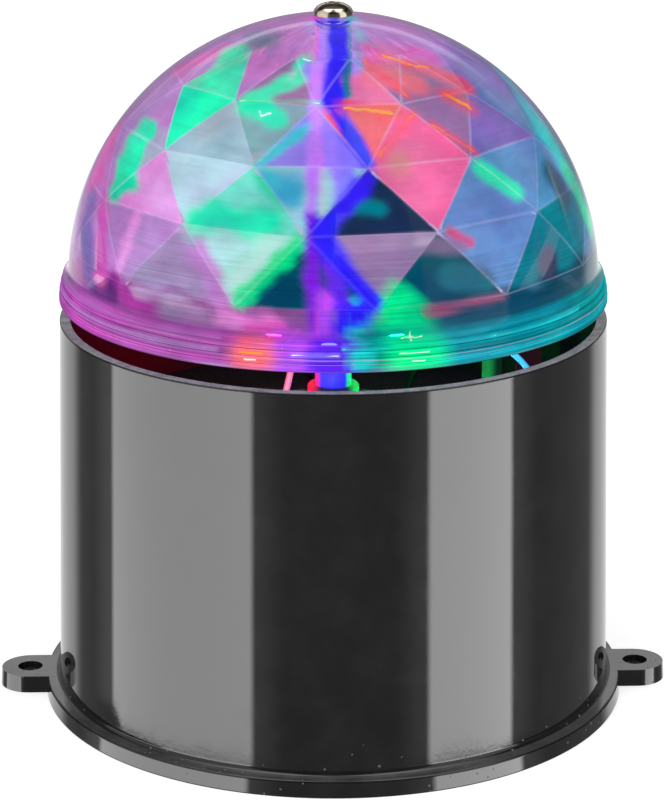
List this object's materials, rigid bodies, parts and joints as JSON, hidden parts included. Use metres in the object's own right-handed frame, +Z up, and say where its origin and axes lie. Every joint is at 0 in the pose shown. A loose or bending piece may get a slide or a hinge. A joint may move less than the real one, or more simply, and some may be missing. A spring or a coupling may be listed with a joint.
{
  "type": "disco projector light",
  "caption": "Battery disco light: a clear facetted dome turns over coloured lights on a round black housing with two screw ears.",
  "frame": {"origin": "centre of the housing's underside, on the surface that it stands on", "axes": "+Z up along the dome's axis; the two screw ears lie along X; -Y is the front; the switch is on the underside towards +Y"},
  "size_m": [0.1192, 0.1028, 0.1236],
  "materials": {
    "gloss_black": "polished black moulded plastic",
    "matt_black": "fine matt black moulded plastic",
    "clear_dome": "clear moulded plastic, polished outside, facetted inside",
    "nickel": "nickel plated",
    "zinc": "zinc plated",
    "brass": "turned brass",
    "white_nylon": "natural nylon",
    "post_plastic": "smooth pale grey plastic",
    "circuit_board": "dark green solder mask",
    "led_red": "lit lens",
    "led_green": "lit lens",
    "led_blue": "lit lens",
    "resistor": "chip resistor body",
    "phenolic": "brown phenolic board",
    "cell_wrap": "plain printed sleeve on a metal can",
    "wire_red": "soft insulation",
    "wire_pale": "soft insulation",
    "wire_black": "soft insulation"
  },
  "bodies": {
    "base": {"housing": "gloss_black", "base_plate": "matt_black", "battery_1": "cell_wrap", "battery_2": "cell_wrap", "battery_3": "cell_wrap", "contact_positive": "zinc", "contact_negative": "zinc", "contact_bridge_left": "zinc", "contact_bridge_right": "zinc", "base_screw_1": "zinc", "base_screw_2": "zinc", "base_screw_3": "zinc", "base_screw_4": "zinc", "deck": "matt_black", "deck_screw_1": "zinc", "deck_screw_2": "zinc", "deck_screw_3": "zinc", "led_board": "circuit_board", "led_red": "led_red", "led_green": "led_green", "led_blue": "led_blue", "resistor_red": "resistor", "resistor_green": "resistor", "resistor_blue": "resistor", "board_screw_1": "zinc", "board_screw_2": "zinc", "gear_plate": "matt_black", "gear_plate_screw_1": "zinc", "gear_plate_screw_2": "zinc", "gear_plate_screw_3": "zinc", "axle_first": "zinc", "axle_second": "zinc", "lower_bush": "brass", "upper_bush": "matt_black", "motor": "zinc", "motor_end_cap": "white_nylon", "motor_screw_1": "zinc", "motor_screw_2": "zinc", "switch_frame": "zinc", "switch_body": "phenolic", "switch_screw_1": "zinc", "switch_screw_2": "zinc", "wire_battery_plus": "wire_red", "wire_battery_minus": "wire_pale", "wire_board_plus": "wire_pale", "wire_motor_plus": "wire_red", "wire_motor_minus": "wire_black"},
    "rotor": {"dome": "clear_dome", "dome_screw": "nickel", "spindle": "post_plastic", "output_gear": "white_nylon", "retaining_clip": "zinc"},
    "second_gear": {"gear_second": "white_nylon"},
    "first_gear": {"gear_first": "white_nylon"},
    "motor_rotor": {"motor_shaft": "zinc", "motor_pinion": "brass"},
    "door": {"battery_door": "matt_black"},
    "slider": {"switch_slider": "matt_black"}
  },
  "joints": [
    {"name": "dome_spin", "type": "hinge", "parent": "base", "child": "rotor", "pos_m": [0, 0, 0.04], "axis": [0, 0, 1], "continuous": true},
    {"name": "second_gear_spin", "type": "hinge", "parent": "base", "child": "second_gear", "pos_m": [-0.01039, 0.006, 0.04], "axis": [0, 0, 1], "continuous": true},
    {"name": "first_gear_spin", "type": "hinge", "parent": "base", "child": "first_gear", "pos_m": [-0.01992, 0.0005, 0.04], "axis": [0, 0, 1], "continuous": true},
    {"name": "motor_spin", "type": "hinge", "parent": "base", "child": "motor_rotor", "pos_m": [-0.01992, -0.0105, 0.04], "axis": [0, 0, 1], "continuous": true},
    {"name": "battery_door_hinge", "type": "hinge", "parent": "base", "child": "door", "pos_m": [-0.0287, 0, 0.0015], "axis": [0, 1, 0], "range_deg": [0, 90]},
    {"name": "switch_slide", "type": "slide", "parent": "base", "child": "slider", "axis": [-1, 0, 0], "range_m": [0, 0.004]}
  ],
  "couplings": [
    {"joint": "second_gear_spin", "follows": "dome_spin", "ratio": -5},
    {"joint": "first_gear_spin", "follows": "dome_spin", "ratio": 22.5},
    {"joint": "motor_spin", "follows": "dome_spin", "ratio": -101.25}
  ]
}
